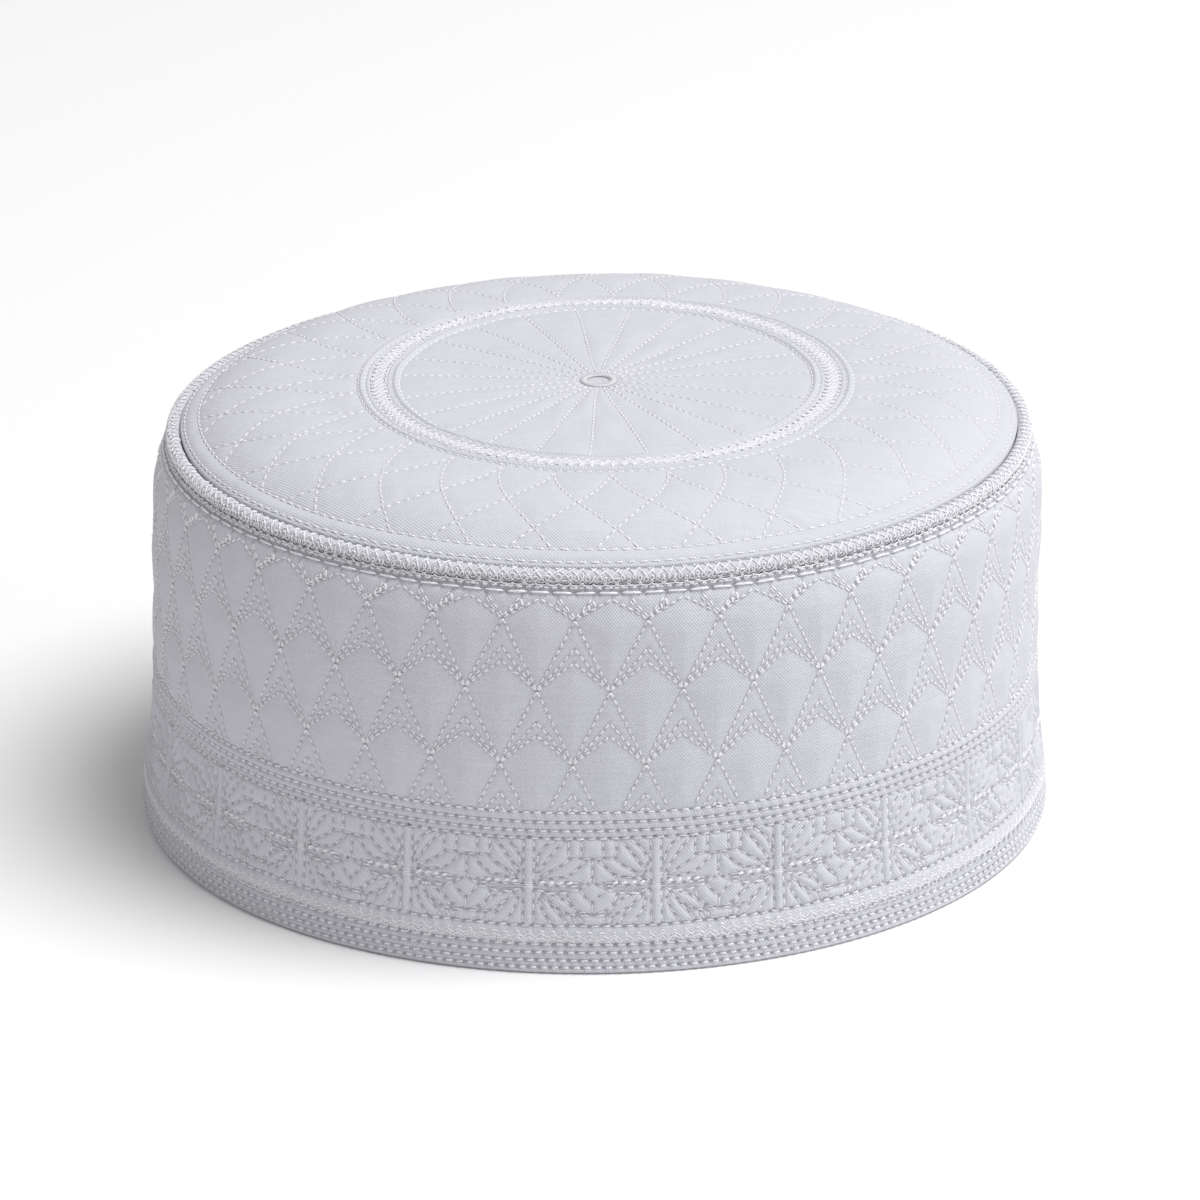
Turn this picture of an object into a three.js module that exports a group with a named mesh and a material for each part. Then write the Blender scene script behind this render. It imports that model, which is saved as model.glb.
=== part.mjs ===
import * as THREE from 'three';
import { mergeVertices } from 'three/addons/utils/BufferGeometryUtils.js';

// Driving sizes in millimetres
const HALF_WIDTH = 91.9;
const OVAL_RATIO = 0.947;
const CAP_HEIGHT = 89.5;
const RIM_HEIGHT = 80;
const CLOTH = 2.2;
const SEAM_GAP = 0.3;

// The top leans a little to the right and to the back
const LEAN_X = 1.2;
const LEAN_Y = 0.75;

// Quilted kites of the side band
const KITES_AROUND = 40;
const FIRST_CORNER_TURN = 2.8;
const KITE_PUFF = 0.9;
const PUFF_REACH = 3.2;
const PUFF_LEVEL = 0.4;

// Spots round the cap, for the kites and for the plain turned pieces
const COLUMNS = 4 * KITES_AROUND;
const LATHE_SEGMENTS = 72;

// Embroidered cord on the rim
const PIPING_RADIUS = 1.5;
const PIPING_RING = 85.06;
const PIPING_HEIGHT = 80.08;
const PIPING_SIDES = 8;

// Padded eyelet at the middle of the crown
const EYELET_OUTER = 3.9;
const EYELET_INNER = 2.1;
const EYELET_TALL = 1.0;
const EYELET_SEAT_RADIUS = 4.2;
const EYELET_SEAT_HEIGHT = CAP_HEIGHT - 0.6;

// The quilted ring is sewn a little off the middle of the crown
const RING_SHIFT_X = 1.37;
const RING_SHIFT_Y = -0.68;
const RING_SHIFT_INNER = 40;
const RING_SHIFT_OUTER = 50;
const RING_SHIFT_END = 74;

// Outside of the side band: half width at each height, measured on the long axis
const WALL_SECTIONS = [
  { height: 0.0, half: 91.4 },
  { height: 0.8, half: HALF_WIDTH },
  { height: 3.0, half: 91.75 },
  { height: 6.1, half: 91.45 },
  { height: 10.0, half: 91.0 },
  { height: 14.0, half: 90.55 },
  { height: 19.0, half: 90.05 },
  { height: 25.0, half: 89.6 },
  { height: 33.3, half: 89.3 },
  { height: 47.0, half: 89.2 },
  { height: 58.0, half: 89.15 },
  { height: 66.0, half: 89.0 },
  { height: 70.0, half: 88.75 },
  { height: 74.0, half: 88.15 },
  { height: 76.4, half: 87.5 },
  { height: 77.6, half: 86.95 },
];

// Stitched rows and puffed bands below the kites, from the kites down to the hem
const LOWER_ROWS = [
  { height: 30.2, puff: -0.2 },
  { height: 27.6, puff: -0.3 },
  { height: 23.0, puff: 0.25 },
  { height: 17.9, puff: -0.25 },
  { height: 14.0, puff: 0.25 },
  { height: 10.0, puff: -0.3 },
  { height: 7.7, puff: 0.25 },
  { height: 6.1, puff: -0.2 },
  { height: 3.0, puff: 0.05 },
  { height: 0.8, puff: 0.0 },
];

// Kite rows: heights of the top point, side corners and bottom point, and the column of
// the first kite's middle line
const KITE_ROWS = [
  { top: 76.4, side: 72.4, bottom: 58.2, middle: 2 },
  { top: 63.9, side: 58.2, bottom: 43.0, middle: 0 },
  { top: 48.9, side: 43.0, bottom: 28.6, middle: 2 },
];
const LATTICE_TOP = KITE_ROWS[0].top;
const LATTICE_BOTTOM = 33.3;

// Inside of the side band, from the hem up to the seam at the top
const INNER_WALL = [
  { height: 0.0, half: 89.6 },
  { height: 1.2, half: 89.3 },
  { height: 18.0, half: 90.1 - CLOTH },
  { height: 60.0, half: 89.1 - CLOTH },
  { height: 72.0, half: 86.1 },
  { height: 75.8, half: 84.4 },
  { height: 78.1, half: 83.4 },
];

// Outside of the crown from the eyelet seat to the rim
const CROWN_SECTIONS = [
  { half: EYELET_SEAT_RADIUS, height: EYELET_SEAT_HEIGHT },
  { half: EYELET_SEAT_RADIUS + 0.7, height: CAP_HEIGHT },
  { half: 40.8, height: CAP_HEIGHT - 0.15 },
  { half: 42.0, height: CAP_HEIGHT + 0.25 },
  { half: 43.2, height: CAP_HEIGHT - 0.25 },
  { half: 45.5, height: CAP_HEIGHT - 0.05 },
  { half: 47.7, height: CAP_HEIGHT - 0.35 },
  { half: 48.8, height: CAP_HEIGHT + 0.1 },
  { half: 49.9, height: CAP_HEIGHT - 0.4 },
  { half: 57.0, height: 88.95 },
  { half: 64.7, height: 88.6 },
  { half: 69.5, height: 87.9 },
  { half: 73.0, height: 86.95 },
  { half: 76.8, height: 85.45 },
  { half: 80.0, height: 83.6 },
  { half: 82.9, height: 82.15 },
  { half: 83.75, height: 81.45 },
];

// Inside of the crown from the rim back to the middle
const CROWN_LINING = [
  { half: 81.8, height: 80.2 },
  { half: 78.6, height: 81.8 },
  { half: 75.4, height: 83.7 },
  { half: 72.0, height: 84.9 },
  { half: 64.2, height: 86.4 },
  { half: 50.0, height: CAP_HEIGHT - CLOTH - 0.3 },
];

const deg = Math.PI / 180;

// Half width of the wall's outside at a height, read between two sections
function wallHalf(height) {
  const next = Math.max(1, WALL_SECTIONS.findIndex((row) => row.height >= height));
  const [low, high] = WALL_SECTIONS.slice(next - 1, next + 1);
  const share = (height - low.height) / (high.height - low.height);
  return THREE.MathUtils.lerp(low.half, high.half, share);
}

// A place on the cap from its half width, its turn round the cap and its height
function place(half, turn, height) {
  const lean = Math.min(1, (height / RIM_HEIGHT) ** 2);
  return new THREE.Vector3(
    half * Math.sin(turn) + LEAN_X * lean,
    -half * OVAL_RATIO * Math.cos(turn) + LEAN_Y * lean,
    height,
  );
}

// Points on the round groove that holds the piping, at the given angles in degrees
function grooveArc(angles) {
  const reach = PIPING_RADIUS + SEAM_GAP;
  return angles.map((angle) => ({
    half: PIPING_RING + reach * Math.cos(angle * deg),
    height: PIPING_HEIGHT + reach * Math.sin(angle * deg),
  }));
}

function seal(geometry) {
  geometry.deleteAttribute('normal');
  geometry.deleteAttribute('uv');
  const welded = mergeVertices(geometry, 1e-4);
  welded.computeVertexNormals();
  return welded;
}

// A closed outline turned round the oval of the cap
function ovalLathe(outline, segments, shift = () => 0) {
  const points = outline.map((row) => new THREE.Vector2(row.half, row.height));
  const geometry = new THREE.LatheGeometry(points, segments);
  const position = geometry.attributes.position;
  for (let i = 0; i < position.count; i += 1) {
    const half = Math.hypot(position.getX(i), position.getZ(i));
    const turn = Math.atan2(position.getX(i), position.getZ(i));
    const spot = place(half, turn, position.getY(i));
    spot.x += RING_SHIFT_X * shift(half);
    spot.y += RING_SHIFT_Y * shift(half);
    position.setXYZ(i, spot.x, spot.y, spot.z);
  }
  return seal(geometry);
}

// How much of the ring's shift the crown takes at a half width
function ringShare(half) {
  const rise = THREE.MathUtils.smoothstep(half, EYELET_SEAT_RADIUS + 1, RING_SHIFT_INNER);
  const fall = THREE.MathUtils.smoothstep(half, RING_SHIFT_OUTER, RING_SHIFT_END);
  return rise * (1 - fall);
}

function crownGeometry() {
  const outline = [
    { half: 0, height: EYELET_SEAT_HEIGHT },
    ...CROWN_SECTIONS,
    ...grooveArc([170, 215]),
    ...CROWN_LINING,
    { half: 0, height: CAP_HEIGHT - CLOTH },
  ];
  return ovalLathe(outline.reverse(), LATHE_SEGMENTS, ringShare);
}

function pipingGeometry() {
  const outline = [];
  for (let side = 0; side <= PIPING_SIDES; side += 1) {
    const angle = ((side % PIPING_SIDES) / PIPING_SIDES) * 2 * Math.PI;
    outline.push({
      half: PIPING_RING + PIPING_RADIUS * Math.cos(angle),
      height: PIPING_HEIGHT + PIPING_RADIUS * Math.sin(angle),
    });
  }
  return ovalLathe(outline, LATHE_SEGMENTS);
}

// The padded ring: a flat underside and a round top
function eyeletGeometry() {
  const middle = (EYELET_OUTER + EYELET_INNER) / 2;
  const thick = (EYELET_OUTER - EYELET_INNER) / 2;
  const outline = [new THREE.Vector2(EYELET_INNER, 0)];
  for (let step = 0; step <= 6; step += 1) {
    const angle = (step / 6) * Math.PI;
    const tall = EYELET_TALL * (0.3 + 0.7 * Math.sin(angle));
    outline.push(new THREE.Vector2(middle + thick * Math.cos(angle), tall));
  }
  outline.splice(1, 0, new THREE.Vector2(EYELET_OUTER, 0));
  outline.push(outline[0].clone());
  const geometry = new THREE.LatheGeometry(outline, 20);
  geometry.rotateX(Math.PI / 2);
  return seal(geometry);
}

// Distance in millimetres from a spot on the wall to the nearest kite edge
function edgeDistance(column, height) {
  const step = (2 * Math.PI * HALF_WIDTH) / COLUMNS;
  const distances = KITE_ROWS.flatMap((row) => {
    const across = Math.abs(THREE.MathUtils.euclideanModulo(column - row.middle + 2, 4) - 2);
    const spot = new THREE.Vector3(across * step, height, 0);
    const corner = new THREE.Vector3(2 * step, row.side, 0);
    return [row.top, row.bottom].map((tip) => {
      const edge = new THREE.Line3(new THREE.Vector3(0, tip, 0), corner);
      return edge.closestPointToPoint(spot, true, new THREE.Vector3()).distanceTo(spot);
    });
  });
  return Math.min(...distances);
}

// The side band: kites above, stitched rows below, a hem and a smooth inside
function bandGeometry() {
  const vertices = [];
  const faces = [];
  const known = new Map();

  function vertex(column, height, half, name) {
    const wrapped = THREE.MathUtils.euclideanModulo(column, COLUMNS);
    const key = `${wrapped} ${name}`;
    if (!known.has(key)) {
      known.set(key, vertices.length / 3);
      const turn = (FIRST_CORNER_TURN + (wrapped * 360) / COLUMNS) * deg;
      vertices.push(...place(half, turn, height).toArray());
    }
    return known.get(key);
  }

  function quiltVertex([column, height]) {
    const share = Math.min(1, edgeDistance(column, height) / PUFF_REACH);
    const half = wallHalf(height) + KITE_PUFF * (share - PUFF_LEVEL);
    return vertex(column, height, half, `quilt ${height.toFixed(3)}`);
  }

  // A face given by three spots of column and height, put in order so that it looks outward
  function addFace(a, b, c) {
    const area = (b[0] - a[0]) * (c[1] - a[1]) - (c[0] - a[0]) * (b[1] - a[1]);
    const order = area > 0 ? [a, b, c] : [a, c, b];
    faces.push(...order.map(quiltVertex));
  }

  function addSplitFace(a, b, c) {
    const half = (p, q) => [(p[0] + q[0]) / 2, (p[1] + q[1]) / 2];
    const ab = half(a, b);
    const bc = half(b, c);
    const ca = half(c, a);
    addFace(a, ab, ca);
    addFace(ab, b, bc);
    addFace(ca, bc, c);
    addFace(ab, bc, ca);
  }

  const [upper, middle, lower] = KITE_ROWS;
  for (let corner = 0; corner < COLUMNS; corner += 4) {
    for (const side of [2, -2]) {
      const at = (share, height) => [corner + side * share, height];
      addSplitFace(at(1, LATTICE_TOP), at(0, LATTICE_TOP), at(0, upper.side));
      addSplitFace(at(1, upper.top), at(0, upper.side), at(1, upper.side));
      addSplitFace(at(0, upper.side), at(1, upper.side), at(1, upper.bottom));
      addSplitFace(at(0, upper.side), at(1, upper.bottom), at(0, middle.top));
      addSplitFace(at(0, middle.top), at(1, middle.side), at(0, middle.side));
      addSplitFace(at(0, middle.side), at(1, middle.side), at(0, middle.bottom));
      addSplitFace(at(1, middle.side), at(0, middle.bottom), at(1, lower.top));
      addSplitFace(at(1, lower.top), at(0, lower.side), at(1, lower.side));
      const cut = (lower.side + LATTICE_BOTTOM) / 2;
      addFace(at(0, lower.side), at(0.5, lower.side), at(0.5, LATTICE_BOTTOM));
      addFace(at(0.5, lower.side), at(1, lower.side), at(1, cut));
      addFace(at(0.5, lower.side), at(1, cut), at(0.5, LATTICE_BOTTOM));
      addFace(at(1, cut), at(1, LATTICE_BOTTOM), at(0.5, LATTICE_BOTTOM));
      addFace(at(0, lower.side), at(0.5, LATTICE_BOTTOM), at(0, cut));
      addFace(at(0, cut), at(0.5, LATTICE_BOTTOM), at(0, LATTICE_BOTTOM));
    }
  }

  // Everything else is plain rings: down the stitched rows, in under the hem, up the inside
  // and over the top edge back to the kites
  const rings = [
    ...LOWER_ROWS.map(({ height, puff }) => ({ height, half: wallHalf(height) + puff })),
    WALL_SECTIONS[0],
    ...INNER_WALL,
    ...grooveArc([-135, -90, -51.4]),
    WALL_SECTIONS[WALL_SECTIONS.length - 1],
  ].map((row, index) => (column) => vertex(column, row.height, row.half, `ring ${index}`));

  for (let column = 0; column < COLUMNS; column += 2) {
    for (let i = 0; i + 1 < rings.length; i += 1) {
      const [high, low] = [rings[i], rings[i + 1]];
      faces.push(high(column), low(column), low(column + 2));
      faces.push(high(column), low(column + 2), high(column + 2));
    }
    const [first, last] = [rings[0], rings[rings.length - 1]];
    const seam = [0, 1, 2].map((step) => quiltVertex([column + step, LATTICE_BOTTOM]));
    faces.push(seam[0], first(column), seam[1]);
    faces.push(seam[1], first(column), first(column + 2));
    faces.push(seam[1], first(column + 2), seam[2]);
    const edge = [0, 1, 2].map((step) => quiltVertex([column + step, LATTICE_TOP]));
    faces.push(edge[0], edge[1], last(column));
    faces.push(edge[1], last(column + 2), last(column));
    faces.push(edge[1], edge[2], last(column + 2));
  }

  const geometry = new THREE.BufferGeometry();
  geometry.setAttribute('position', new THREE.Float32BufferAttribute(vertices, 3));
  geometry.setIndex(faces);
  geometry.computeVertexNormals();
  return geometry;
}

const cloth = { color: '#ecebf2', roughness: 0.88, metalness: 0 };
const thread = { color: '#f1f0f5', roughness: 0.62, metalness: 0 };

function piece(name, geometry, look) {
  const mesh = new THREE.Mesh(geometry, new THREE.MeshStandardMaterial(look));
  mesh.name = name;
  return mesh;
}

const cap = new THREE.Group();
cap.name = 'prayer_cap';
cap.add(piece('side_band', bandGeometry(), cloth));
cap.add(piece('crown_panel', crownGeometry(), cloth));
cap.add(piece('rim_piping', pipingGeometry(), thread));
const eyelet = piece('crown_eyelet', eyeletGeometry(), thread);
eyelet.position.set(LEAN_X, LEAN_Y, EYELET_SEAT_HEIGHT + SEAM_GAP);
cap.add(eyelet);

export default cap;
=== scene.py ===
"""A white quilted and embroidered prayer cap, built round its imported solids."""

import math

import bpy
import numpy as np
from mathutils import Matrix, Vector


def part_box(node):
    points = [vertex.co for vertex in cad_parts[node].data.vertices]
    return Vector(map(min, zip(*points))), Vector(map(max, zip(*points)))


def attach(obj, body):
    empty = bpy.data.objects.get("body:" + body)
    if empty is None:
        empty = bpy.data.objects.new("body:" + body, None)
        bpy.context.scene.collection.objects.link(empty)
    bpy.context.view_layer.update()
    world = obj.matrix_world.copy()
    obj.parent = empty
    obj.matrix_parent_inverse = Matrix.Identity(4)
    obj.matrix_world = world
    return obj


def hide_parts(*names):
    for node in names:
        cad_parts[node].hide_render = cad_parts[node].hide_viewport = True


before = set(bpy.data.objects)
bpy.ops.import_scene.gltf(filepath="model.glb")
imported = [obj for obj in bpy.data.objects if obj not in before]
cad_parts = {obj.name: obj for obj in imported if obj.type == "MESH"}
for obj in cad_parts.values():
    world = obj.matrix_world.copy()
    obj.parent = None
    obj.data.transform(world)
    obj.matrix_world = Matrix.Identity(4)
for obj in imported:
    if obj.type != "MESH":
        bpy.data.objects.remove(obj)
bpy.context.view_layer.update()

bl_info = {
    "name": "Quilted prayer cap",
    "version": (1, 0, 0),
    "blender": (4, 5, 0),
    "location": "3D View > Sidebar > Prayer Cap",
    "description": "Builds a white quilted and embroidered prayer cap round its packed solids",
    "category": "Add Mesh",
}

MM = 0.001
FULL_TURN = 2 * math.pi


def node_box_mm(node):
    """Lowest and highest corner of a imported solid, in millimetres."""
    low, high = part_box(node)
    return np.array(low) / MM, np.array(high) / MM


# Driving sizes in millimetres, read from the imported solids. The eyelet's hole is about half
# of it, and it stands a little over the crown.
BAND_LOW, BAND_HIGH = node_box_mm("side_band")
PIPING_LOW, PIPING_HIGH = node_box_mm("rim_piping")
EYELET_LOW, EYELET_HIGH = node_box_mm("crown_eyelet")
HALF_WIDTH = (BAND_HIGH[0] - BAND_LOW[0]) / 2
OVAL_RATIO = (BAND_HIGH[1] - BAND_LOW[1]) / (BAND_HIGH[0] - BAND_LOW[0])
LEAN_X, LEAN_Y = (PIPING_LOW[:2] + PIPING_HIGH[:2]) / 2
PIPING_RADIUS = (PIPING_HIGH[2] - PIPING_LOW[2]) / 2
PIPING_HEIGHT = (PIPING_HIGH[2] + PIPING_LOW[2]) / 2
PIPING_RING = (PIPING_HIGH[0] - PIPING_LOW[0]) / 2 - PIPING_RADIUS
EYELET_SEAT = EYELET_LOW[2]
EYELET_OUTER = (EYELET_HIGH[0] - EYELET_LOW[0]) / 2
EYELET_INNER = EYELET_OUTER * 0.54
CAP_HEIGHT = EYELET_HIGH[2] - 0.7
SEAM_GAP = 0.12
CLOTH = 2.2

# Grids of the cloth pieces: columns round the cap and the step between rows, and for the
# crown's zones the first and last half width and the number of rows
KITE_COLUMNS = 1120
KITE_ROW_STEP = 0.62
LEAF_COLUMNS = 1440
LEAF_ROW_STEP = 0.42
HEM_COLUMNS = 1120
HEM_ROW_STEP = 0.46
CROWN_COLUMNS = 600
CROWN_ZONES = [(1.2, 40.6, 20), (40.6, 50.4, 34), (50.4, 79.0, 26), (79.0, 83.75, 17)]
INSIDE_ROWS = 7

# Distance of the extra row just inside a band's edge, and depth of its square cut
JOIN = 0.05

# A grid point this close to a sewn line is pulled onto it, by this share of a cell at most.
# On the crown it is pulled from so many times that share.
PULL = 0.26
CELL_SHARE = 0.45
CROWN_CLOSE = 1.15

# Slopes are taken from values this far to both sides
NUDGE = 0.3

# Mean radii that turn an angle round the wall into millimetres
KITE_ROUND = 86.5
LEAF_ROUND = 87.7

# Quilted kites
KITES_AROUND = 40
FIRST_CORNER = math.radians(2.8)
KITE_HALF = math.pi / KITES_AROUND * KITE_ROUND
WALL_TOP = 78.55
TUCK_START = 77.9
TUCK_END = 78.65
TUCK_DEPTH = 0.05
KITE_TOP = 77.1
KITE_FOOT = 33.0
KITE_STEP = 1.6
KITE_SHOULDER = 0.15
KITE_TOP_GAP = 0.3

# Leaf border
MOTIFS_AROUND = 23
FIRST_BAR = math.radians(4.12)
MOTIF_HALF = math.pi / MOTIFS_AROUND * LEAF_ROUND
LEAF_TOP = 27.7
LEAF_FOOT = 10.0
LEAF_MIDDLE = 17.9
LEAF_DRAWN_HALF = 12.0
LEAF_STEP = 2.1
BAR_HALF = 0.94
BAR_RISE = 0.62
BAR_SINK = 0.1
TIE_LEVEL = LEAF_MIDDLE + 0.3
TIE_HALF = 0.6
TIE_DEPTH = 0.3
CURVE_POINTS = 7

# Hem, and the broad round row at its top that carries looped threads
HEM_TOP = 9.0
HEM_FOOT = 0.95
BROAD_ROW = {"middle": 7.6, "half": 1.35, "rise": 0.35}

# Crown pattern: its middle is round, its edge follows the oval. The turns of the spokes'
# ends and of the net's points are readings from the photograph, on the plain oval.
SPOKE_TURNS = np.radians([
    -80.0, -64.2, -48.7, -34.5, -20.0, -5.8, 9.2, 23.5, 38.0, 53.0, 70.8, 90.8,
    107.8, 123.3, 138.3, 153.5, 168.3, 182.8, 198.0, 213.7, 229.5, 245.8, 261.7,
])
SPOKE_END = 41.2
NET_TURNS = np.radians([
    11.0, 22.8, 35.3, 49.2, 61.7, 75.0, 87.5, 98.5, 110.8, 123.8, 136.3, 148.7,
    161.3, 173.7, 185.8, 198.0, 210.3, 222.5, 234.2, 247.5, 261.7, 273.7, 286.2, 298.3,
    310.3, 323.3, 335.5, 347.2, 359.2,
])
NET_START = 50.2
NET_POINT = 50.6
NET_CROSSING = 75.2
NET_BEND = 1.29
NET_END = 79.8
ROUND_UP_TO = 52.0
OVAL_FROM = 78.0
RING_SHIFT = (1.37, 0.1)

# Height of the wall and how far its outside stands in from the widest place
WALL_TABLE = {
    "height": [0.8, 3.0, 6.1, 10.0, 14.0, 19.0, 25.0, 33.3, 47.0, 58.0, 66.0, 70.0, 74.0,
               76.4, 77.6, 78.65],
    "inset": [0.0, 0.15, 0.45, 0.9, 1.35, 1.85, 2.3, 2.6, 2.7, 2.75, 2.9, 3.15, 3.75,
              4.4, 4.95, 5.7],
}

# Inside of the wall, from the hem up to the seam under the rim
WALL_INSIDE = {
    "height": [0.0, 1.2, 18.0, 33.3, 45.0, 60.0, 72.0, 75.8, 78.1],
    "half": [89.6, 89.3, 87.9, 87.1, 87.0, 86.9, 86.1, 84.4, 83.4],
}

# Rounded fold of the hem, from its inner edge outwards: inset and height
HEM_FOLD = [(1.9, 0.0), (1.1, 0.0), (0.45, 0.05), (0.1, 0.45)]

# Outside of the crown: half width and how far it lies under the top
CROWN_TABLE = {
    "half": [0.0, 4.6, 40.0, 50.0, 57.0, 64.7, 69.5, 73.0, 76.8, 80.0, 82.9, 83.75],
    "drop": [0.1, 0.0, 0.1, 0.35, 0.6, 0.95, 1.65, 2.6, 4.1, 5.9, 7.35, 8.05],
}

# Inside of the crown, from the seam back to the middle
CROWN_INSIDE = {
    "half": [81.8, 78.6, 75.4, 72.0, 64.2, 50.0, 25.0],
    "drop": [9.3, 7.7, 5.8, 4.6, 3.1, 2.5, 2.2],
}

# Quilted kites, one line a row: top point, side corners, bottom point, rise of the line
# sewn over the top, and 1 where the kites' middles lie half a kite on from the first corner
KITE_TABLE = [
    {"top": 76.4, "side": 72.5, "bottom": 58.3, "over": 3.9, "shifted": 1},
    {"top": 64.0, "side": 58.2, "bottom": 43.1, "over": 2.8, "shifted": 0},
    {"top": 48.9, "side": 43.0, "bottom": 28.4, "over": 2.8, "shifted": 1},
    {"top": 34.0, "side": 28.3, "bottom": 13.5, "over": 2.8, "shifted": 0},
]

# Rows of straight stitching on the wall: height, length of a step, share of it that is
# thread, how far the thread stands out, and its thickness against the common one
WALL_SEAMS = np.array([
    (78.3, 1.7, 0.7, 0.1, 1.3),
    (77.45, 4.4, 0.94, 0.1, 1.05),
    (33.0, 2.16, 0.68, 0.0, 1.0),
    (31.1, 2.16, 0.72, 0.02, 1.0),
    (29.3, 2.16, 0.72, 0.02, 1.0),
    (27.7, 2.16, 0.7, 0.0, 1.0),
    (9.95, 2.16, 0.7, 0.0, 1.0),
    (6.15, 2.3, 0.76, 0.0, 1.0),
    (4.5, 2.0, 0.68, 0.02, 1.2),
    (2.9, 2.0, 0.68, 0.02, 1.2),
    (1.45, 2.0, 0.66, 0.02, 1.15),
])
SEAM_LEVELS = WALL_SEAMS[:, 0]
SEAM_COUNTS = np.round(FULL_TURN * LEAF_ROUND / WALL_SEAMS[:, 1]).astype(int)
SEAM_PHASE = 1.7

# How far the cloth between two rows is nipped in at a needle hole, and how wide
NIP_SHARE = 0.7
NIP_WIDTH = 0.85

# Lines of the leaf border in one half of a motif: from the bar's middle outwards and from
# the middle line up or down. Each is a smooth curve through its points.
LEAF_LINES = [
    [(0.98, 0.8), (0.98, 5.0), (0.98, 9.7)],
    [(1.5, 4.3), (1.9, 6.4), (3.1, 8.3), (5.2, 9.6)],
    [(1.9, 2.8), (2.7, 4.1), (3.9, 5.9), (5.3, 7.8), (6.8, 9.4)],
    [(2.3, 2.0), (4.6, 3.4), (6.2, 4.4), (7.8, 5.7)],
    [(7.7, 5.8), (7.5, 7.3), (7.6, 9.5)],
    [(9.7, 5.8), (9.9, 7.0), (10.0, 9.5)],
    [(7.6, 5.75), (12.0, 5.8)],
    [(2.2, 1.3), (5.2, 1.8), (7.7, 2.3), (9.2, 3.7), (10.9, 5.4)],
    [(12.0, 5.6), (12.0, 2.0)],
    [(9.7, -0.2), (10.9, 0.4), (11.7, 1.1), (12.0, 2.0)],
    [(1.2, 0.3), (9.6, 0.15)],
    [(7.0, 0.9), (9.9, 0.9)],
    [(1.3, -0.5), (3.2, -1.2), (5.4, -1.45), (8.0, -0.95), (9.7, -0.4)],
    [(9.7, -0.4), (10.3, -1.5), (11.4, -2.6), (12.0, -3.1)],
    [(12.0, -3.1), (12.0, -5.7)],
    [(7.3, -1.6), (8.2, -3.5), (9.8, -4.9), (11.3, -5.5)],
    [(2.7, -1.3), (4.6, -1.6), (6.7, -2.6), (8.3, -4.1), (9.2, -5.3)],
    [(2.6, -1.7), (4.9, -3.8), (7.3, -5.4), (9.2, -5.8)],
    [(2.0, -2.5), (2.7, -4.8), (4.6, -7.7)],
    [(4.4, -3.9), (5.9, -5.6), (7.5, -7.7)],
    [(8.2, -5.9), (8.4, -6.8), (9.4, -7.7)],
    [(9.8, -5.9), (9.9, -7.7)],
    [(9.2, -5.8), (12.0, -5.75)],
    [(0.98, -0.8), (0.98, -7.8)],
]

# A fold of the leaf border that has no stitches of its own
LEAF_FOLDS = [[(1.3, -0.6), (8.5, -0.75)]]

# Stitched circles of the crown: half width and length of a step
CROWN_SEAMS = [(41.3, 2.0), (42.75, 2.0), (43.95, 2.0), (46.95, 2.0), (48.2, 2.0), (49.5, 2.0),
               (80.0, 2.35), (82.9, 2.35)]
CIRCLE_REACH = 0.37
CIRCLE_PHASE = 0.37

# How deep the eyelet sits in the crown, and how wide the edge of its seat is
SEAT_DEPTH = 0.25
SEAT_EDGE = 0.4

# How far the crown's cloth swells among the spokes, on the ring and in the net, and where it
# is flat again at the rim
SPOKE_RISE = 0.15
RING_RISE = 0.05
NET_RISE = 0.22
CROWN_FLAT = (83.0, 83.7)

# Raised ribs of the crown's ring: middle, half width and rise
CROWN_RIBS = [(42.05, 0.62, 0.5), (43.35, 0.5, 0.3), (45.45, 1.4, 0.22), (47.55, 0.5, 0.3),
              (48.85, 0.62, 0.45)]

# How quilted cloth lies: how far its swell reaches, depth and width of the dip along a sewn
# line, and how much deeper a needle hole is
KITE_QUILT = {"reach": 3.0, "dip": 0.1, "width": 0.4, "pit": 0.1, "power": 2}
LEAF_QUILT = {"reach": 0.75, "dip": 0.16, "width": 0.32, "pit": 0.12}
ROW_QUILT = {"reach": 0.6, "dip": 0.1, "width": 0.38, "pit": 0.1}
CROWN_QUILT = {"reach": 2.2, "dip": 0.1, "width": 0.45, "pit": 0}

# How much painted shade a sewn line gets: its width, that along the line and that in its needle
# holes
KITE_SHADE = {"width": 0.3, "line": 0.05, "pit": 0.22}
LEAF_SHADE = {"width": 0.28, "line": 0.05, "pit": 0.16}
ROW_SHADE = {"width": 0.32, "line": 0.04, "pit": 0.16}
CROWN_SHADE = {"width": 0.45, "line": 0.08, "pit": 0}

# Slow waves of the cloth: the places between which they rise from nothing, and fade again
WALL_WAVES = {"seed": 5, "waves": 14, "fastest": 36, "rising": (0.5, 4.0), "fading": (78.6, 77.0)}
CROWN_WAVES = {"seed": 11, "waves": 16, "fastest": 24, "rising": (5, 20), "fading": (83.5, 80)}
WAVE_HEIGHT = 0.12
WAVE_SLANT = 0.3
WAVE_PHASE = 6.3

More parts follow.
